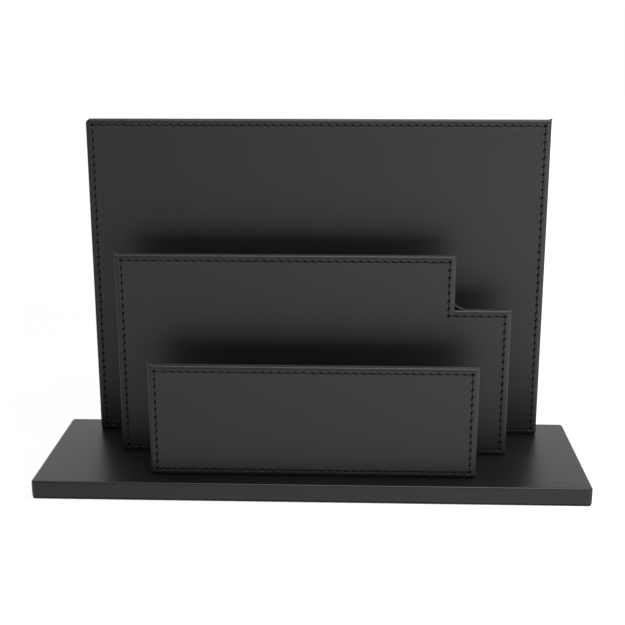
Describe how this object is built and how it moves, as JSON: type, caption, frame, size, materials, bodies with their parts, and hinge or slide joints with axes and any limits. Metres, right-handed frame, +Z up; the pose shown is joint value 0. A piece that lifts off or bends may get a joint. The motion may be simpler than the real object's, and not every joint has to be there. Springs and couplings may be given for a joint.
{
  "type": "magazine holder",
  "caption": "Desk magazine holder: stepped upright panels in stitched black leather stand in a row on a flat leather-covered base, with slots between them.",
  "frame": {"origin": "middle of the base's underside, on the surface that the holder stands on", "axes": "+X to the right along the base's long side, seen from the lowest panel; +Y from the lowest panel to the tallest; +Z up"},
  "size_m": [0.38, 0.122, 0.2474],
  "materials": {
    "leather": "smooth black leather with a fine grain and a satin sheen",
    "thread": "black sewing thread",
    "underside_cloth": "black brushed cloth, matt",
    "fibreboard": "raw fibreboard",
    "screw_steel": "zinc-plated"
  },
  "bodies": {
    "root": {"base_board": "fibreboard", "base_leather": "leather", "base_underside": "underside_cloth", "rear_panel_board": "fibreboard", "rear_panel_front_leather": "leather", "rear_panel_back_leather": "leather", "rear_panel_front_stitches": "thread", "rear_panel_back_stitches": "thread", "rear_panel_screws": "screw_steel", "middle_panel_board": "fibreboard", "middle_panel_front_leather": "leather", "middle_panel_back_leather": "leather", "middle_panel_front_stitches": "thread", "middle_panel_back_stitches": "thread", "middle_panel_screws": "screw_steel", "front_panel_board": "fibreboard", "front_panel_front_leather": "leather", "front_panel_back_leather": "leather", "front_panel_front_stitches": "thread", "front_panel_back_stitches": "thread", "front_panel_screws": "screw_steel"}
  },
  "joints": []
}
